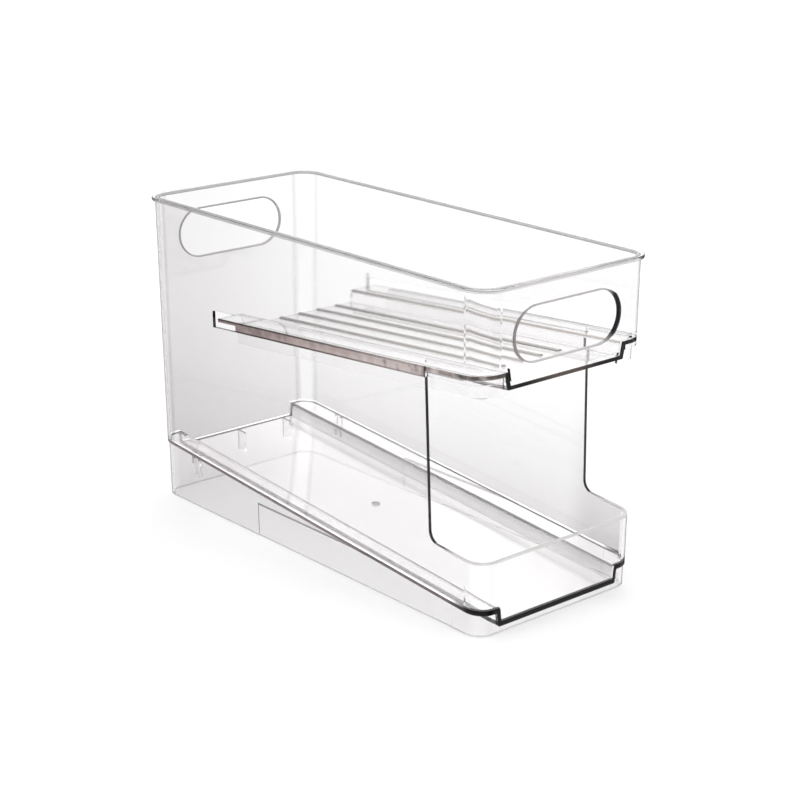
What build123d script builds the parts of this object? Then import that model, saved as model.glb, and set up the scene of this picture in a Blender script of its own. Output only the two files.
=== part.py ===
from build123d import *
import os
from math import cos, radians, sin, tan

# Two-tier can organizer in clear plastic: an open-topped body, a sloping base and a pull-out upper tray.
# Frame: X across the width, front at -Y, Z up, origin on the floor under the middle. Lengths are in mm.
# "Front line" means the plane through the front of the rim, from which heights on slopes are given.

# Overall size, over the rim
length = 350.0
width = 147.0
height = 221.0

# Body: drafted walls, flared rim, two hand holes
wall = 2.3
draft_degrees = 0.75
corner_radius = 16.0
rim_overhang = 2.3
rim_height = 2.4
rim_round = 0.8
handle_length = 87.0
handle_height = 34.0
handle_below_rim = 33.0
handle_edge_round = 0.6

# Front opening: a low lip, then the side walls cut back in a C as far as the tray's slots
lip_front_height = 48.3
cut_back_bottom = 50.0
cut_back_top = 53.0
cut_corner_radius = 8.0

# Base: ledges along both sides, a dropped floor between them, a skirt down to the shelf
base_slope_degrees = 4.5
base_ledge_front_height = 16.2
base_plate = 2.4
base_step_drop = 9.5
base_step_top_half = 50.3
base_step_foot_half = 49.1
step_round = 1.0
skirt = 2.2
skirt_inset = 1.0
side_panel_depth = 0.5
side_panel_height = 23.5
side_panel_from_front = 30.5
side_panel_from_rear = 121.0
gusset = 1.6
gusset_height = 15.5
gusset_depth = 9.0
gusset_pair_gap = 4.0
side_gusset_reach = 3.0
side_gusset_from_rear = 47.0
rear_gusset_half_spacing = 42.0
gate_mark_diameter = 5.0
gate_mark_depth = 0.4
gate_mark_behind_centre = 7.0

# Upper tray: the same section as the base, tipped the other way, with ribs, rails and lips along its edges
tray_slope_degrees = 4.35
tray_ledge_front_height = 168.6
tray_plate = 2.4
tray_step_drop = 8.9
tray_step_top_half = 48.6
tray_step_foot_half = 46.8
chute_length = 83.5
rail_height = 6.6
rail_nose = 1.0
rail_lead = 20.0
nose_lip = 1.8
nose_lip_height = 5.6
guide_lip = 1.8
guide_lip_height = 14.4
rib_count = 5
rib_pitch = 16.5
rib_width = 4.2
rib_height = 1.3
rib_from_front = 42.0
rib_from_rear = 2.0

# Fits and clearances
run_clearance = 0.3
side_clearance = 0.5
slot_clear_above = 5.0
slot_clear_rear = 6.0
slot_corner_radius = 1.0
front_gap = 2.5
seam_gap = 0.1
overrun = 20.0

# Places worked out from the sizes above
front_line = -length / 2
rear_line = length / 2
tray_rear = rear_line - chute_length
slot_rear = tray_rear + slot_clear_rear
cut_bottom_y = front_line + cut_back_bottom
cut_top_y = front_line + cut_back_top
slot_front = cut_top_y - run_clearance
rim_underside = height - rim_height
half_reach = width / 2 + overrun
draft_rise = tan(radians(draft_degrees))
base_rise = tan(radians(base_slope_degrees))
tray_rise = -tan(radians(tray_slope_degrees))


def base_ledge(y):
    """Height of the top of the base's ledges."""
    return base_ledge_front_height + (y - front_line) * base_rise


def tray_ledge(y):
    """Height of the top of the tray's ledges."""
    return tray_ledge_front_height + (y - front_line) * tray_rise


def step_middle(depth):
    """Distance from the centre to the middle of the tray's step, at a depth below the ledge's top."""
    lean = (tray_step_top_half - tray_step_foot_half) / tray_step_drop
    return tray_step_top_half + tray_plate / 2 - (depth - tray_plate / 2) * lean


def lip_top(y):
    """Height of the low front lip, which runs parallel to the base along the sides."""
    return lip_front_height + (y - front_line) * base_rise


def drafted_block(inset, low, high):
    """Solid inside the wall's outer face, moved inwards by an inset, between two heights."""
    margin = rim_overhang + (rim_underside - high) * draft_rise + inset
    radius = corner_radius + rim_overhang - margin
    plan = RectangleRounded(width - 2 * margin, length - 2 * margin, radius)
    return extrude(Plane.XY.offset(high) * plan, amount=high - low, dir=(0, 0, -1), taper=draft_degrees)


def along_slope(face, ledge, slope):
    """Face drawn square to a slope from the ledge's top on the front line, swept past both ends."""
    direction = Vector(0, cos(radians(slope)), sin(radians(slope)))
    start = Vector(0, front_line, ledge) - direction * overrun
    section = Plane(start, x_dir=(1, 0, 0), z_dir=-direction) * face
    return extrude(section, amount=length / cos(radians(slope)) + 2 * overrun, dir=direction)


def along_base(face):
    """Face swept along the base's slope."""
    return along_slope(face, base_ledge_front_height, base_slope_degrees)


def along_tray(face):
    """Face swept along the tray's slope."""
    return along_slope(face, tray_ledge_front_height, -tray_slope_degrees)


def across(points, corner=None, corner_round=0.0):
    """Outline drawn in Y and Z, run across both side walls, with one corner rounded if asked."""
    face = make_face(Polyline(*points, close=True))
    if corner is not None:
        face = fillet(face.vertices().sort_by_distance(Vector(*corner)).first, corner_round)
    return extrude(Plane.YZ * face, amount=half_reach, both=True)


def step_line(rise, drop, top_half, foot_half):
    """Ledge, step, floor, step and ledge, from left to right, at a rise over the ledge's top."""
    right = [(foot_half, rise - drop), (top_half, rise), (half_reach, rise)]
    return [(-x, z) for x, z in reversed(right)] + right


def stepped_face(points):
    """Face inside an outline, with the corners of its steps rounded."""
    face = make_face(Polyline(*points, close=True))
    corners = [vertex for vertex in face.vertices() if abs(vertex.X) < width / 2]
    return fillet(corners, step_round)


def below_step_line(rise, drop, top_half, foot_half, depth):
    """Everything under a stepped line, down to a depth below the ledge's top."""
    line = step_line(rise, drop, top_half, foot_half)
    return stepped_face(line + [(half_reach, -depth), (-half_reach, -depth)])


def plate_section(drop, top_half, foot_half, plate):
    """Stepped plate of one thickness, its upper side on the ledge's top."""
    upper = step_line(0, drop, top_half, foot_half)
    lower = step_line(-plate, drop, top_half + plate, foot_half + plate)
    return stepped_face(upper + list(reversed(lower)))


def slab(y_low, y_high, z_low, z_high, half_width):
    """Block across the middle, between two places along Y and two heights."""
    size = (2 * half_width, y_high - y_low, z_high - z_low)
    return Pos(0, (y_low + y_high) / 2, (z_low + z_high) / 2) * Box(*size)


def make_body():
    """Sleeve of drafted walls whose lower edges follow the base and whose front follows the tray."""
    floor_depth = base_ledge(rear_line) + overrun
    body = drafted_block(0, 0, rim_underside)
    rim_plan = RectangleRounded(width, length, corner_radius + rim_overhang)
    rim = extrude(Plane.XY.offset(rim_underside) * rim_plan, amount=rim_height)
    rim = fillet(rim.edges().filter_by(Axis.Z, reverse=True), rim_round)
    body = body + rim - drafted_block(wall, -overrun, height + overrun)

    body -= along_base(below_step_line(
        seam_gap, base_step_drop, base_step_top_half - seam_gap, base_step_foot_half - seam_gap, floor_depth
    ))

    # Front opening, trimmed by the tray's own section raised by the gap that lets the ribs pass
    outside = front_line - overrun
    opening_top = tray_ledge_front_height + overrun
    corner = (cut_bottom_y, lip_top(cut_bottom_y))
    slot_foot = tray_ledge(cut_top_y) - rail_height - run_clearance
    opening = [
        (outside, lip_top(outside)),
        corner,
        (cut_top_y, slot_foot),
        (cut_top_y, opening_top),
        (outside, opening_top),
    ]
    body -= across(opening, corner, cut_corner_radius) & along_tray(below_step_line(
        front_gap, tray_step_drop, tray_step_top_half - side_clearance, tray_step_foot_half - side_clearance,
        tray_ledge_front_height,
    ))

    # Slots that carry the tray's rails, open to the front
    below, above = -rail_height - run_clearance, slot_clear_above
    slot_end_top = (slot_rear, tray_ledge(slot_rear) + above)
    slot = [
        (slot_front, tray_ledge(slot_front) + below),
        (slot_rear, tray_ledge(slot_rear) + below),
        slot_end_top,
        (slot_front, tray_ledge(slot_front) + above),
    ]
    body -= across(slot, slot_end_top, slot_corner_radius)

    # Hand holes square through the front and rear walls, with softened edges
    handle_z = height - handle_below_rim
    wall_face = length / 2 - rim_overhang - (rim_underside - handle_z) * draft_rise
    for side in (-1, 1):
        outwards = Vector(0, side * cos(radians(draft_degrees)), -sin(radians(draft_degrees)))
        plane = Plane((0, side * wall_face, handle_z), x_dir=(1, 0, 0), z_dir=outwards)
        body -= extrude(plane * SlotOverall(handle_length, handle_height), amount=overrun, both=True)
    zone = Pos(0, 0, handle_z) * Box(handle_length + wall, length, handle_height + wall)
    return fillet(body.edges().filter_by(lambda edge: zone.is_inside(edge.center())), handle_edge_round)


def make_base():
    """Sloping stepped plate, flush with the wall outside, on a skirt that stands on the shelf."""
    step = (base_step_drop, base_step_top_half, base_step_foot_half)
    top = base_ledge(rear_line) + overrun
    base = along_base(plate_section(*step, base_plate)) & drafted_block(0, -overrun, top)

    below_plate_middle = along_base(below_step_line(-base_plate / 2, *step, top))
    hollow = drafted_block(skirt_inset + skirt, -overrun, top)
    base += (drafted_block(skirt_inset, 0, top) - hollow) & below_plate_middle

    # Shallow panel in the outside of each long skirt, its top level, cut short by the sloping ledge
    panel_front = front_line + side_panel_from_front
    panel_rear = rear_line - side_panel_from_rear
    panel_reach = slab(panel_front, panel_rear, -overrun, side_panel_height, half_reach)
    below_ledge = along_base(below_step_line(-base_plate, *step, top))
    base -= (panel_reach & below_ledge) - drafted_block(skirt_inset + side_panel_depth, -overrun, top)

    # Stiffening gussets under the ledges near the rear, and behind the rear skirt under the floor
    skirt_half = width / 2 - rim_overhang - rim_underside * draft_rise - skirt_inset - skirt / 2
    gussets = []
    for side in (-1, 1):
        for shift in (-1, 1):
            y = rear_line - side_gusset_from_rear + shift * (gusset_pair_gap + gusset) / 2
            x = side * (skirt_half - side_gusset_reach / 2)
            z = base_ledge(y) - base_plate / 2 - gusset_height / 2
            gussets.append(Pos(x, y, z) * Box(side_gusset_reach, gusset, gusset_height))
    skirt_rear = rear_line - rim_overhang - rim_underside * draft_rise - skirt_inset - skirt / 2
    for x in (-rear_gusset_half_spacing, 0, rear_gusset_half_spacing):
        y = skirt_rear - gusset_depth / 2
        z = base_ledge(skirt_rear - gusset_depth) - base_step_drop - base_plate / 2 - gusset_height / 2
        gussets.append(Pos(x, y, z) * Box(gusset, gusset_depth, gusset_height))
    base += gussets

    gate_z = base_ledge(gate_mark_behind_centre) - base_step_drop
    gate_mark = Cylinder(gate_mark_diameter / 2, 2 * gate_mark_depth)
    return base - Pos(0, gate_mark_behind_centre, gate_z) * gate_mark


def make_tray():
    """Stepped plate sloping down to the rear, with rails in the slots, guide lips inside them and ribs."""
    step = (tray_step_drop, tray_step_top_half, tray_step_foot_half)
    low, high = tray_ledge_front_height - length / 2, tray_ledge_front_height + overrun
    tray = along_tray(plate_section(*step, tray_plate)) & drafted_block(0, low, high)

    def edge_band(outer_inset, thickness, depth):
        """Band under both ledges and round the front corners, as far as the steps."""
        section = [
            (step_middle(tray_plate / 2), -tray_plate / 2),
            (half_reach, -tray_plate / 2),
            (half_reach, -depth),
            (step_middle(depth), -depth),
        ]
        band = along_tray(make_face(Polyline(*section, close=True)))
        band += mirror(band, Plane.YZ)
        inside = drafted_block(outer_inset + thickness, low, high)
        return (drafted_block(outer_inset, low, high) - inside) & band

    # Thick rails fill the slots in the walls. Ahead of them a thin lip goes on round the front corners.
    # The deeper guide lips run inside the walls.
    lip_inset = wall + side_clearance
    along_slots = slab(cut_top_y - rail_nose, rear_line, low, high, half_reach)
    tray += edge_band(0, lip_inset + guide_lip, rail_height) & along_slots
    tray += edge_band(0, nose_lip, nose_lip_height)
    tray += edge_band(lip_inset, guide_lip, guide_lip_height)
    past_rail = slab(tray_rear - rail_lead, rear_line + overrun, low, high, half_reach)
    tray -= past_rail & along_tray(below_step_line(
        -tray_plate, tray_step_drop, tray_step_top_half + tray_plate, tray_step_foot_half + tray_plate, height
    ))
    tray -= slab(tray_rear, rear_line + overrun, low, high, half_reach)

    ribs = []
    floor = -tray_step_drop
    rib_reach = slab(front_line + rib_from_front, tray_rear - rib_from_rear, low, high, half_reach)
    for index in range(rib_count):
        x = (index - (rib_count - 1) / 2) * rib_pitch
        left, right, root = x - rib_width / 2, x + rib_width / 2, floor - tray_plate / 2
        crown = ThreePointArc((left, floor), (x, floor + rib_height), (right, floor))
        section = make_face(crown + Polyline((right, floor), (right, root), (left, root), (left, floor)))
        ribs.append(along_tray(section) & rib_reach)
    return tray + ribs


os.makedirs("parts", exist_ok=True)
export_step(make_body(), "parts/body.step")
export_step(make_base(), "parts/base.step")
export_step(make_tray(), "parts/upper_tray.step")
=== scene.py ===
from math import radians, tan

import bpy
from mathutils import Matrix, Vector


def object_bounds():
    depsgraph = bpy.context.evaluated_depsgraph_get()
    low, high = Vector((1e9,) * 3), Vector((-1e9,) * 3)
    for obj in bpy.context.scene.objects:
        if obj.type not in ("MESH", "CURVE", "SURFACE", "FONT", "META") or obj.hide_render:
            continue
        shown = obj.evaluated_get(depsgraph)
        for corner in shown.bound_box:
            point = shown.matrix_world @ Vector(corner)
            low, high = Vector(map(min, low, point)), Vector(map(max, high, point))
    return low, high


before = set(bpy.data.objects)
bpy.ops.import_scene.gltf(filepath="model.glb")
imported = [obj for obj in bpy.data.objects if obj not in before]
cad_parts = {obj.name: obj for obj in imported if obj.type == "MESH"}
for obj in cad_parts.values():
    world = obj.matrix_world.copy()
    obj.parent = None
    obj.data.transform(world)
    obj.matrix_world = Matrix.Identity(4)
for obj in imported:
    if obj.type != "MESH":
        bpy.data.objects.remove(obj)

cad_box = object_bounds()

# Viewpoint of the photograph, in metres and degrees
CAMERA_PLACE = Vector((-0.8018, -0.9507, 0.5083))
CAMERA_AZIMUTH = -40.66
CAMERA_ELEVATION = 18.27
LENS_MM = 86.9
SENSOR_MM = 36.0

# Outer faces of the object, in metres like every place below
HALF_WIDTH = cad_box[1][0]
FRONT = cad_box[0][1]
REAR = cad_box[1][1]
TOP = cad_box[1][2]

# Rounded corners, measured from their centre to the rim, the wall's two faces and the skirt, and the draft
ROUND = 0.0183
WALL_FACE = 0.0160
WALL_BACK = 0.0137
SKIRT_FACE = 0.0150
DRAFT_RISE = tan(radians(0.75))

# Body: rim, hand holes, front wall, low lip, cut-back sides and slots
RIM_HEIGHT = 0.0024
HAND_HOLE_LEVEL = TOP - 0.033
HAND_HOLE_RADIUS = 0.017
HAND_HOLE_STRAIGHT = 0.0265
FRONT_WALL_REAR = FRONT + 0.008
LIP_LINE = (0.0483, tan(radians(4.5)))
LIP_REAR = FRONT + 0.042
SIDE_CUT = FRONT + 0.053
SLOT_REAR = REAR - 0.0775
SLOT_REACH = 0.008

# Base: its slope as height at the front and rise, its dropped floor, gate mark and skirt panels
BASE_LINE = (0.0162, tan(radians(4.5)))
BASE_STEP = 0.0095
BASE_STEP_HALF = 0.0503
GATE_MARK_Y = 0.007
GATE_MARK_RADIUS = 0.0025
PANEL_TOP = 0.0235
PANEL_REAR = REAR - 0.121

# Upper tray: its slope, plate, rails, dropped floor and ribs
TRAY_LINE = (0.1686, -tan(radians(4.35)))
TRAY_PLATE = 0.0024
TRAY_RAIL = 0.0066
TRAY_STEP = 0.0089
TRAY_STEP_HALF = 0.0486
RIBS_HALF = TRAY_STEP_HALF - 0.006

# Clear plastic: how it bends light, how fast light fades in it, and what its shadow lets through
IOR = 1.5
SPECULAR = 0.5
FADE_COLOUR = (0.60, 0.565, 0.565, 1.0)
FADE_PER_METRE = 22.0
SHADOW_COLOUR = (0.985, 0.985, 0.987, 1.0)

# Painted shade from clear to deep grey-lilac: how it grows towards the foot, the right, the lip's right
# corner and the rear
CLEAR = (0.995, 0.992, 0.995, 1.0)
DEEP_SHADE = (0.50, 0.475, 0.492, 1.0)
SHADE_BY_HEIGHT = ((0.1, 1.0), (0.82, 0.0))
SHADE_BY_HEIGHT_POWER = 2.0
SHADE_RIGHT_PER_METRE = 3.5
SHADE_FOOT = 0.28
SHADE_LIP_CORNER = 0.35
LIP_CORNER_X = (0.04, 0.06)
LIP_CORNER_Y = (FRONT + 0.07, FRONT + 0.04)
SHADE_REAR = 0.22
SHADE_REAR_RANGE = (0.03, 0.24)
LEVEL_FACE_RANGE = (0.5, 0.9)

# Unevenness, each noise by its scale and detail
CLOUD_NOISE = (5.0, 2.0)
CLOUD_SHADE = ((0.3, 0.85), (0.7, 1.0))
PATCH_NOISE = (9.0, 3.0)
PATCH_ROUGHNESS = ((0.35, 0.012), (0.7, 0.05))
SCUFF_STRETCH = (420.0, 26.0, 420.0)
SCUFF_NOISE = (1.0, 4.0)
SCUFF_ROUGHNESS = ((0.62, 0.0), (0.78, 0.06))
WAVE_NOISE = (14.0, 1.0)
WAVE_STRENGTH = 0.03
WAVE_DEPTH = 0.001

# Painted shade on edges seen end on: a unit for the width of lines, and how far full paint takes away
# view-through and gloss
FINE = 0.0003
PAINT_COVER = 0.85
PAINT_DULLING = 0.4

# Painted shade on the body. Shades and fades run from 0 to 1 along the length, or across a hand hole
SEAM_SHADES = (
    (0.045, (0.006, 0.005, 0.006)), (0.09, (0.12, 0.10, 0.10)), (0.45, (0.22, 0.185, 0.19)),
    (0.93, (0.20, 0.18, 0.18)), (0.97, (0.30, 0.29, 0.29)),
)
SEAM_FADE = ((0.05, 1.0), (0.09, 0.0))
HOLE_SHADES = (
    (0.02, (0.30, 0.27, 0.26)), (0.15, (0.52, 0.50, 0.50)),
    (0.85, (0.52, 0.50, 0.50)), (0.95, (0.01, 0.01, 0.015)),
)
HOLE_DISTANCE_SCALE = ((0.02, 0.6), (0.12, 1.0), (0.88, 1.0), (0.97, 0.45))
RIM_GREY = (0.40, 0.385, 0.39, 1.0)
RIM_STRENGTH = 0.75
LIP_GREY = (0.60, 0.59, 0.58, 1.0)
LIP_STRENGTH = 0.85
COLUMN_GREY = (0.60, 0.59, 0.60, 1.0)
COLUMN_STRENGTH = 0.2
SLOT_GREY = (0.74, 0.73, 0.73, 1.0)
SLOT_STRENGTH = 0.9

# Painted shade on the base, and its gate mark. The edge's shade fades from the middle to the right, and
# the step's from top to bottom
BASE_EDGE_FADE = ((0.0, 1.0), (0.5, 0.0))
BASE_EDGE_LOWER = (0.42, 0.39, 0.40, 1.0)
BASE_STEP_DARK = (0.08, 0.07, 0.075, 1.0)
BASE_STEP_FADE = ((0.08, 0.85), (0.22, 0.3), (0.9, 0.03))
PANEL_DARK = (0.12, 0.10, 0.10, 1.0)
PANEL_STRENGTH = 0.8
FOOT_GREY = (0.70, 0.69, 0.69, 1.0)
FOOT_STRENGTH = 0.8
MARK_GREY = (0.34, 0.33, 0.32, 1.0)
MARK_STRENGTH = 0.8

# Painted shade on the upper tray. The front's shades run from 0 at the left step to 1 at the right one
TRAY_EDGE_FADE = ((0.0, 1.0), (0.5, 0.2))
TRAY_EDGE_SHADES = (
    (0.0, (0.10, 0.085, 0.08)), (0.06, (0.22, 0.19, 0.18)), (0.2, (0.60, 0.52, 0.50)),
    (0.45, (0.44, 0.36, 0.345)), (0.7, (0.25, 0.20, 0.195)),
)
TRAY_EDGE_NOISE = (160.0, 3.0)
TRAY_EDGE_SPREAD = 0.6
TRAY_FRONT_SHADES = (
    (0.15, (0.006, 0.005, 0.005)), (0.42, (0.11, 0.085, 0.075)),
    (0.60, (0.10, 0.08, 0.07)), (0.80, (0.010, 0.008, 0.008)),
)
RAIL_DARK = (0.05, 0.04, 0.04, 1.0)
RAIL_FADE = ((0.2, 0.4), (0.5, 0.9), (0.73, 1.0))
RIB_SHADES = ((0.1, (0.68, 0.63, 0.59)), (0.4, (0.48, 0.425, 0.39)), (0.75, (0.20, 0.17, 0.155)))
RIB_STRENGTH = 0.75
TRAY_STEP_STRENGTH = 0.9

# Floor and lamp, in metres and degrees
FLOOR_REACH = 12.0
FLOOR_DROP = 0.0005
FLOOR_COLOUR = (0.93, 0.93, 0.93, 1.0)
FLOOR_ROUGHNESS = 0.9
FLOOR_SPECULAR = 0.1
KEY_FROM = Vector((0.5, 0.45, 0.75))
KEY_POWER = 0.75
KEY_SPREAD = 30.0

# Directions in the studio, each with the range of its cosine over which it sets in
BELOW = ((0.0, 0.0, -1.0), 0.0, 0.12)
DARK_BACK = ((0.32, 0.95, 0.0), 0.40, 0.60)
DARK_FRONT = ((0.25, -0.97, 0.0), 0.84, 0.90)
DARK_SIDE = ((0.94, 0.34, 0.0), 0.80, 0.92)
BRIGHT_BACK = ((0.60, 0.62, 0.50), 0.92, 0.985)
PLAIN_WHITE = 0.95
BRIGHT = 1.5

# A Mix node's two inputs and its output, which have the same names for every kind of value
MIX_SOCKETS = {"FLOAT": (2, 3, 0), "RGBA": (6, 7, 2)}


def node(tree, kind, **inputs):
    """A shader node with some of its inputs set or linked by name."""
    made = tree.nodes.new(kind)
    for name, value in inputs.items():
        fill(tree, made.inputs[name.replace("_", " ")], value)
    return made


def fill(tree, socket, value):
    """Links a socket to another one, or sets it."""
    if isinstance(value, bpy.types.NodeSocket):
        tree.links.new(value, socket)
    else:
        socket.default_value = value


def maths(tree, operation, *values):
    """One maths node over sockets and numbers."""
    made = tree.nodes.new("ShaderNodeMath")
    made.operation = operation
    for socket, value in zip(made.inputs, values):
        fill(tree, socket, value)
    return made.outputs["Value"]


def product(tree, *values):
    """Product of several sockets and numbers."""
    result = values[0]
    for value in values[1:]:
        result = maths(tree, "MULTIPLY", result, value)
    return result


def largest(tree, *values):
    """Largest of several sockets and numbers."""
    result = values[0]
    for value in values[1:]:
        result = maths(tree, "MAXIMUM", result, value)
    return result


def away(tree, value, place):
    """How far a value lies from a place, on either side of it."""
    return maths(tree, "ABSOLUTE", maths(tree, "SUBTRACT", value, place))


def past(tree, value, place):
    """How far a value lies past a place, and 0 before it."""
    return maths(tree, "MAXIMUM", maths(tree, "SUBTRACT", value, place), 0.0)


def far(tree, one, other):
    """Length of a vector with two parts."""
    squares = [maths(tree, "MULTIPLY", part, part) for part in (one, other)]
    return maths(tree, "SQRT", maths(tree, "ADD", *squares))


def ease(tree, value, low, high):
    """Smooth step from 0 where a value is at low to 1 where it is at high."""
    made = node(tree, "ShaderNodeMapRange", Value=value, From_Min=low, From_Max=high)
    made.interpolation_type = "SMOOTHSTEP"
    return made.outputs["Result"]


def ramp(tree, factor, stops):
    """A colour ramp through stops given as (place, grey or colour)."""
    made = node(tree, "ShaderNodeValToRGB", Fac=factor)
    elements = made.color_ramp.elements
    while len(elements) < len(stops):
        elements.new(0.5)
    for element, (place, value) in zip(elements, stops):
        element.position = place
        element.color = (*value, 1.0) if isinstance(value, tuple) else (value, value, value, 1.0)
    return made.outputs["Color"]


def blend(tree, factor, one, other, kind="RGBA"):
    """Mix of two colours, or of two numbers."""
    made = tree.nodes.new("ShaderNodeMix")
    made.data_type = kind
    first, second, result = MIX_SOCKETS[kind]
    fill(tree, made.inputs["Factor"], factor)
    fill(tree, made.inputs[first], one)
    fill(tree, made.inputs[second], other)
    return made.outputs[result]


def noise(tree, place, scale_and_detail):
    """Noise between 0 and 1."""
    scale, detail = scale_and_detail
    return node(tree, "ShaderNodeTexNoise", Vector=place, Scale=scale, Detail=detail).outputs["Fac"]


class Point:
    """The point being shaded, in the object's own frame."""

    def __init__(self, tree):
        self.place = node(tree, "ShaderNodeTexCoord").outputs["Object"]
        parts = node(tree, "ShaderNodeSeparateXYZ", Vector=self.place).outputs
        self.x, self.y, self.z = parts["X"], parts["Y"], parts["Z"]
        self.side = maths(tree, "ABSOLUTE", self.x)
        self.end = maths(tree, "ABSOLUTE", self.y)

        # Distance from the centre of the nearest rounded corner, with the walls' draft taken out
        across = past(tree, self.side, HALF_WIDTH - ROUND)
        along = past(tree, self.end, REAR - ROUND)
        lean = maths(tree, "MULTIPLY_ADD", self.z, -DRAFT_RISE, (TOP - RIM_HEIGHT) * DRAFT_RISE)
        self.reach = maths(tree, "ADD", far(tree, across, along), lean)

        # From 0 on the flat walls to its most in the middle of a rounded corner
        self.turn = maths(tree, "MINIMUM", across, along)

        # From 0 at the front to 1 at the rear
        self.back = maths(tree, "MULTIPLY_ADD", self.y, 1 / (REAR - FRONT), -FRONT / (REAR - FRONT))


def below(tree, point, line):
    """Depth below a line that runs from front to rear, given by its height at the front and its rise."""
    height, rise = line
    level = maths(tree, "MULTIPLY_ADD", point.y, rise, height - FRONT * rise)
    return maths(tree, "SUBTRACT", level, point.z)


def seam_shade_colour(tree, point):
    """Painted shade of the seam and the base's edge: black at the front, brown-grey along the sides."""
    return ramp(tree, point.back, SEAM_SHADES)


def body_painted_shade(tree, point):
    """Painted shade: lines on rim, hand holes, seam and lip, and pale ones on rear corners and the right
    slot's end.
    """
    inner = ease(tree, point.reach, WALL_BACK + 4 * FINE, WALL_BACK + 3 * FINE)
    on_rim = ease(tree, point.z, TOP - RIM_HEIGHT, TOP - RIM_HEIGHT + FINE)
    rim = product(tree, inner, on_rim, RIM_STRENGTH)

    # Hand holes: share runs from 0 to 1 across the front one, where a scale below 1 widens the line
    in_front = ease(tree, point.y, ROUND, -ROUND)
    share = product(tree, point.x, in_front, 0.5 / (HAND_HOLE_STRAIGHT + HAND_HOLE_RADIUS))
    share = maths(tree, "ADD", share, 0.5)
    aside = past(tree, point.side, HAND_HOLE_STRAIGHT)
    level = maths(tree, "SUBTRACT", point.z, HAND_HOLE_LEVEL)
    off = away(tree, far(tree, aside, level), HAND_HOLE_RADIUS)
    off = product(tree, off, ramp(tree, share, HOLE_DISTANCE_SCALE))
    on_end = ease(tree, point.end, REAR - 2 * ROUND, REAR - ROUND)
    hole = product(tree, ease(tree, off, 4 * FINE, 3 * FINE), on_end)

    # Seam between base and body: painted shade
    dropped = ease(tree, point.side, BASE_STEP_HALF + FINE, BASE_STEP_HALF)
    over = maths(tree, "MULTIPLY_ADD", dropped, -BASE_STEP, below(tree, point, BASE_LINE))
    on_seam = ease(tree, over, -5 * FINE, -3 * FINE)
    seam = product(tree, on_seam, ramp(tree, point.back, SEAM_FADE))

    from_lip = maths(tree, "ABSOLUTE", below(tree, point, LIP_LINE))
    ahead = ease(tree, point.y, LIP_REAR, LIP_REAR - ROUND)
    lip = product(tree, ease(tree, from_lip, 4 * FINE, 2 * FINE), ahead, LIP_STRENGTH)

    starts = ease(tree, point.turn, FINE, 5 * FINE)
    stops = ease(tree, point.turn, 16 * FINE, 8 * FINE)
    column = product(tree, starts, stops, ease(tree, point.y, 0.0, ROUND), COLUMN_STRENGTH)

    on_slot_end = ease(tree, away(tree, point.y, SLOT_REAR), 4 * FINE, 2 * FINE)
    from_tray = maths(tree, "ABSOLUTE", below(tree, point, TRAY_LINE))
    in_slot = ease(tree, from_tray, SLOT_REACH + FINE, SLOT_REACH)
    slot_end = product(tree, on_slot_end, in_slot, ease(tree, point.x, 0.0, ROUND), SLOT_STRENGTH)

    return [
        (column, COLUMN_GREY), (slot_end, SLOT_GREY), (rim, RIM_GREY),
        (hole, ramp(tree, share, HOLE_SHADES)), (seam, seam_shade_colour(tree, point)), (lip, LIP_GREY),
    ]


def base_painted_shade_and_mark(tree, point):
    """Painted shade on the plate's edge, the right step, the panels' upper edge and the foot, and the gate
    mark.
    """
    drop = below(tree, point, BASE_LINE)

    # Edge's painted shade: black in front, brown-grey and lighter below along the left, fading out on the
    # right
    outer = ease(tree, point.reach, WALL_FACE - 3 * FINE, WALL_FACE - 2 * FINE)
    left = ramp(tree, maths(tree, "DIVIDE", point.x, HALF_WIDTH), BASE_EDGE_FADE)
    in_front = ease(tree, point.y, FRONT + ROUND, FRONT + ROUND / 2)
    edge = product(tree, outer, largest(tree, left, in_front))
    behind = ease(tree, point.y, FRONT + ROUND / 2, FRONT + ROUND)
    lower = product(tree, ease(tree, drop, 6 * FINE, 8 * FINE), behind)
    edge_colour = blend(tree, lower, seam_shade_colour(tree, point), BASE_EDGE_LOWER)

    # Right step: painted shade, darkest under its upper edge
    from_inside = ease(tree, point.x, BASE_STEP_HALF - 7 * FINE, BASE_STEP_HALF - 5 * FINE)
    from_outside = ease(tree, point.x, BASE_STEP_HALF + 5 * FINE, BASE_STEP_HALF + 3 * FINE)
    shading = ramp(tree, maths(tree, "DIVIDE", drop, BASE_STEP), BASE_STEP_FADE)
    step = product(tree, from_inside, from_outside, shading)

    # Upper edge of the skirt panels: painted shade
    on_panel_top = ease(tree, away(tree, point.z, PANEL_TOP), 4 * FINE, 2 * FINE)
    on_skirt = ease(tree, point.reach, SKIRT_FACE - 4 * FINE, SKIRT_FACE - 3 * FINE)
    ahead = ease(tree, point.y, PANEL_REAR + FINE, PANEL_REAR)
    panel = product(tree, on_panel_top, on_skirt, ahead, PANEL_STRENGTH)

    # Foot: painted pale grey shade
    foot = product(tree, ease(tree, point.z, 2 * FINE, FINE), FOOT_STRENGTH)

    from_mark = far(tree, point.x, maths(tree, "SUBTRACT", point.y, GATE_MARK_Y))
    on_mark = ease(tree, from_mark, GATE_MARK_RADIUS + 3 * FINE, GATE_MARK_RADIUS)
    mark = product(tree, on_mark, MARK_STRENGTH)

    return [
        (foot, FOOT_GREY), (step, BASE_STEP_DARK), (edge, edge_colour),
        (panel, PANEL_DARK), (mark, MARK_GREY),
    ]


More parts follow.
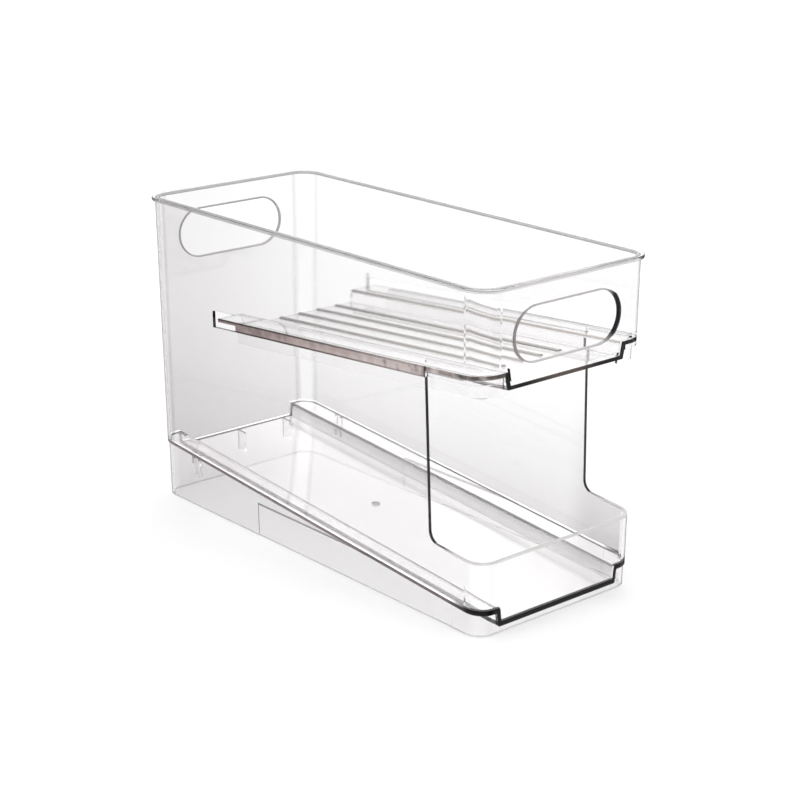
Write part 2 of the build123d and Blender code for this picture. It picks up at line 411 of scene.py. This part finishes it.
def tray_painted_shade(tree, point):
    """Painted shade: edge of plate and rails with darker lines, and bands on the ribs and the right step's
    upper edge.
    """
    drop = below(tree, point, TRAY_LINE)

    # Edge's painted shade: as deep as the rails behind the cut-back sides, thin round the corners, and
    # weaker on the right
    outer = ease(tree, point.reach, WALL_FACE - 3 * FINE, WALL_FACE - 2 * FINE)
    on_plate = ease(tree, drop, TRAY_PLATE + FINE, TRAY_PLATE)
    on_rail = ease(tree, point.y, SIDE_CUT - 2 * FINE, SIDE_CUT)
    step_side = TRAY_STEP_HALF + TRAY_PLATE
    inside_step = ease(tree, point.side, step_side + FINE, step_side)
    left = ramp(tree, maths(tree, "DIVIDE", point.x, HALF_WIDTH), TRAY_EDGE_FADE)
    in_front = ease(tree, point.y, FRONT + ROUND, FRONT + ROUND - 2 * FINE)
    covered = largest(tree, on_plate, on_rail, inside_step)
    edge = product(tree, outer, covered, largest(tree, left, in_front))

    # Its painted shade: uneven brown-grey along the sides, and nearly black in front
    uneven = noise(tree, point.place, TRAY_EDGE_NOISE)
    uneven = maths(tree, "MULTIPLY_ADD", uneven, TRAY_EDGE_SPREAD, -TRAY_EDGE_SPREAD / 2)
    along = ramp(tree, maths(tree, "ADD", point.back, uneven), TRAY_EDGE_SHADES)
    across = maths(tree, "MULTIPLY_ADD", point.x, 0.5 / TRAY_STEP_HALF, 0.5)
    on_nose = product(tree, in_front, largest(tree, inside_step, ease(tree, point.x, 0.0, ROUND)))
    edge_colour = blend(tree, on_nose, along, ramp(tree, across, TRAY_FRONT_SHADES))

    # Darker lines of painted shade along the top and the bottom of the rails, and down their front ends
    upper = ease(tree, drop, 5 * FINE, 2 * FINE)
    lower = ease(tree, drop, TRAY_RAIL - 4 * FINE, TRAY_RAIL - 2 * FINE)
    along_rail = product(tree, on_rail, largest(tree, upper, lower), ramp(tree, point.back, RAIL_FADE))
    down_end = ease(tree, away(tree, point.y, SIDE_CUT), 4 * FINE, 3 * FINE)
    lines = product(tree, edge, largest(tree, along_rail, down_end))

    # Ribs and the right step's upper edge: painted shade, darkest at the rear
    rise = maths(tree, "SUBTRACT", TRAY_STEP, drop)
    on_floor = ease(tree, point.side, RIBS_HALF, RIBS_HALF - 2 * FINE)
    rib = product(tree, ease(tree, rise, 0.3 * FINE, 1.5 * FINE), on_floor, RIB_STRENGTH)
    rib_colour = ramp(tree, point.back, RIB_SHADES)

    on_step = ease(tree, away(tree, point.x, TRAY_STEP_HALF), 5 * FINE, 3 * FINE)
    step = product(tree, on_step, ease(tree, drop, 5 * FINE, 4 * FINE), TRAY_STEP_STRENGTH)

    return [(rib, rib_colour), (step, rib_colour), (edge, edge_colour), (lines, RAIL_DARK)]


def polish(tree, point):
    """Roughness: broad patches of polish, with fine scuffs that run mostly along the length."""
    patches = noise(tree, point.place, PATCH_NOISE)
    stretch = node(tree, "ShaderNodeMapping", Vector=point.place, Scale=SCUFF_STRETCH)
    scuffs = noise(tree, stretch.outputs["Vector"], SCUFF_NOISE)
    dull = ramp(tree, patches, PATCH_ROUGHNESS)
    return maths(tree, "ADD", dull, ramp(tree, scuffs, SCUFF_ROUGHNESS))


def waviness(tree, point):
    """Normal of a moulded wall, whose waves show only in what it mirrors and bends."""
    waves = noise(tree, point.place, WAVE_NOISE)
    bump = node(tree, "ShaderNodeBump", Height=waves, Strength=WAVE_STRENGTH, Distance=WAVE_DEPTH)
    return bump.outputs["Normal"]


def painted_shade_colour(tree, point, shade_share, level_share):
    """Painted shade in slow grey-lilac clouds, deeper towards the foot and the rear, and less on level
    faces, which are painted lighter.
    """
    low = ramp(tree, maths(tree, "DIVIDE", point.z, TOP), SHADE_BY_HEIGHT)
    low = maths(tree, "POWER", low, SHADE_BY_HEIGHT_POWER)
    right = maths(tree, "MULTIPLY_ADD", point.x, SHADE_RIGHT_PER_METRE, 1.0)
    behind = ease(tree, point.y, FRONT_WALL_REAR, FRONT + ROUND)
    by_lip = product(tree, ease(tree, point.x, *LIP_CORNER_X), ease(tree, point.y, *LIP_CORNER_Y))
    foot = maths(tree, "MULTIPLY_ADD", by_lip, SHADE_LIP_CORNER, SHADE_FOOT)
    rear = ease(tree, maths(tree, "SUBTRACT", point.y, point.x), *SHADE_REAR_RANGE)
    shade_depth = maths(tree, "ADD", product(tree, low, right, behind, foot), product(tree, rear, SHADE_REAR))

    clouds = ramp(tree, noise(tree, point.place, CLOUD_NOISE), CLOUD_SHADE)
    flat = ease(tree, point.turn, ROUND / 3, ROUND / 5)
    normal = node(tree, "ShaderNodeNewGeometry").outputs["Normal"]
    level = maths(tree, "ABSOLUTE", node(tree, "ShaderNodeSeparateXYZ", Vector=normal).outputs["Z"])
    upright = ramp(tree, level, tuple(zip(LEVEL_FACE_RANGE, (1.0, level_share))))
    return blend(tree, product(tree, shade_depth, clouds, upright, flat, shade_share), CLEAR, DEEP_SHADE)


def clear_plastic(name, paint, shade_share, level_share):
    """Polished clear moulding with a slight painted shade, and with painted shade where its edges are seen
    end on.
    """
    material = bpy.data.materials.new(name)
    material.use_nodes = True
    tree = material.node_tree
    tree.nodes.clear()
    point = Point(tree)

    # Clear colour with painted shade, then the painted shade of the edges over it
    colour = painted_shade_colour(tree, point, shade_share, level_share)
    layers = paint(tree, point)
    for mask, shade in layers:
        colour = blend(tree, mask, colour, shade)
    painted = largest(tree, *[mask for mask, shade in layers])

    plastic = node(
        tree, "ShaderNodeBsdfPrincipled",
        Base_Color=colour, Roughness=polish(tree, point), Normal=waviness(tree, point), IOR=IOR,
        Transmission_Weight=maths(tree, "MULTIPLY_ADD", painted, -PAINT_COVER, 1.0),
        Specular_IOR_Level=maths(tree, "MULTIPLY_ADD", painted, -PAINT_DULLING, SPECULAR),
    )

    # Lamps shine through it, so that it casts the light grey shadow of thin clear walls
    shadow = node(tree, "ShaderNodeLightPath").outputs["Is Shadow Ray"]
    passing = node(tree, "ShaderNodeBsdfTransparent", Color=SHADOW_COLOUR)
    mixed = tree.nodes.new("ShaderNodeMixShader")
    sources = (shadow, plastic.outputs["BSDF"], passing.outputs["BSDF"])
    for socket, source in zip(mixed.inputs, sources):
        tree.links.new(source, socket)

    fade = node(tree, "ShaderNodeVolumeAbsorption", Color=FADE_COLOUR, Density=FADE_PER_METRE)
    surface, volume = mixed.outputs["Shader"], fade.outputs["Volume"]
    node(tree, "ShaderNodeOutputMaterial", Surface=surface, Volume=volume)
    return material


def dress(name, material):
    """Gives a CAD node its one material."""
    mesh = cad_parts[name].data
    mesh.materials.clear()
    mesh.materials.append(material)


def floor():
    """Pale sheet that runs out of sight on every side."""
    corners = [(x * FLOOR_REACH, y * FLOOR_REACH, 0) for x, y in ((-1, -1), (1, -1), (1, 1), (-1, 1))]
    mesh = bpy.data.meshes.new("floor")
    mesh.from_pydata(corners, [], [(0, 1, 2, 3)])
    material = bpy.data.materials.new("pale_floor")
    material.use_nodes = True
    paint = material.node_tree.nodes["Principled BSDF"]
    paint.inputs["Base Color"].default_value = FLOOR_COLOUR
    paint.inputs["Roughness"].default_value = FLOOR_ROUGHNESS
    paint.inputs["Specular IOR Level"].default_value = FLOOR_SPECULAR
    mesh.materials.append(material)

    # The plastic doesn't mirror the sheet, but the studio around it
    sheet = bpy.data.objects.new("floor", mesh)
    bpy.context.scene.collection.objects.link(sheet)
    sheet.location.z = -FLOOR_DROP
    sheet.visible_glossy = False


def facing(tree, direction, place):
    """How far a direction lies towards one place in the studio, from 0 to 1."""
    towards, low, high = place
    cosine = tree.nodes.new("ShaderNodeVectorMath")
    cosine.operation = "DOT_PRODUCT"
    tree.links.new(direction, cosine.inputs[0])
    cosine.inputs[1].default_value = towards
    return ease(tree, cosine.outputs["Value"], low, high)


def studio():
    """White surroundings, brighter behind, with dark patches below the horizon for the walls to mirror."""
    world = bpy.data.worlds.new("white_studio")
    world.use_nodes = True
    tree = world.node_tree
    direction = node(tree, "ShaderNodeTexCoord").outputs["Generated"]
    patches = [facing(tree, direction, place) for place in (DARK_BACK, DARK_FRONT, DARK_SIDE)]
    dark = product(tree, largest(tree, *patches), facing(tree, direction, BELOW))
    light = maths(tree, "MULTIPLY_ADD", dark, -PLAIN_WHITE, PLAIN_WHITE)
    light = maths(tree, "MULTIPLY_ADD", facing(tree, direction, BRIGHT_BACK), BRIGHT, light)

    # Seen directly, the surroundings are plain white
    direct = node(tree, "ShaderNodeLightPath").outputs["Is Camera Ray"]
    background = tree.nodes["Background"]
    background.inputs["Color"].default_value = (1.0, 1.0, 1.0, 1.0)
    tree.links.new(blend(tree, direct, light, 1.0, kind="FLOAT"), background.inputs["Strength"])
    bpy.context.scene.world = world


def sun():
    """Even light from a broad patch of the ceiling."""
    lamp = bpy.data.lights.new("key", "SUN")
    lamp.energy = KEY_POWER
    lamp.angle = radians(KEY_SPREAD)
    made = bpy.data.objects.new("key", lamp)
    bpy.context.scene.collection.objects.link(made)
    made.rotation_euler = (-KEY_FROM).to_track_quat("-Z", "Y").to_euler()


def camera():
    """Camera at the photograph's viewpoint."""
    lens = bpy.data.cameras.new("camera")
    lens.lens = LENS_MM
    lens.sensor_width = SENSOR_MM
    made = bpy.data.objects.new("camera", lens)
    bpy.context.scene.collection.objects.link(made)
    made.rotation_euler = (radians(90.0 - CAMERA_ELEVATION), 0.0, radians(CAMERA_AZIMUTH))
    made.location = CAMERA_PLACE
    bpy.context.scene.camera = made


dress("body", clear_plastic("clear_body", body_painted_shade, shade_share=1.0, level_share=1.0))
dress("base", clear_plastic("clear_base", base_painted_shade_and_mark, shade_share=0.45, level_share=0.05))
dress("upper_tray", clear_plastic("clear_tray", tray_painted_shade, shade_share=1.0, level_share=0.4))
floor()
studio()
sun()
camera()
bpy.context.scene.view_settings.view_transform = "Standard"
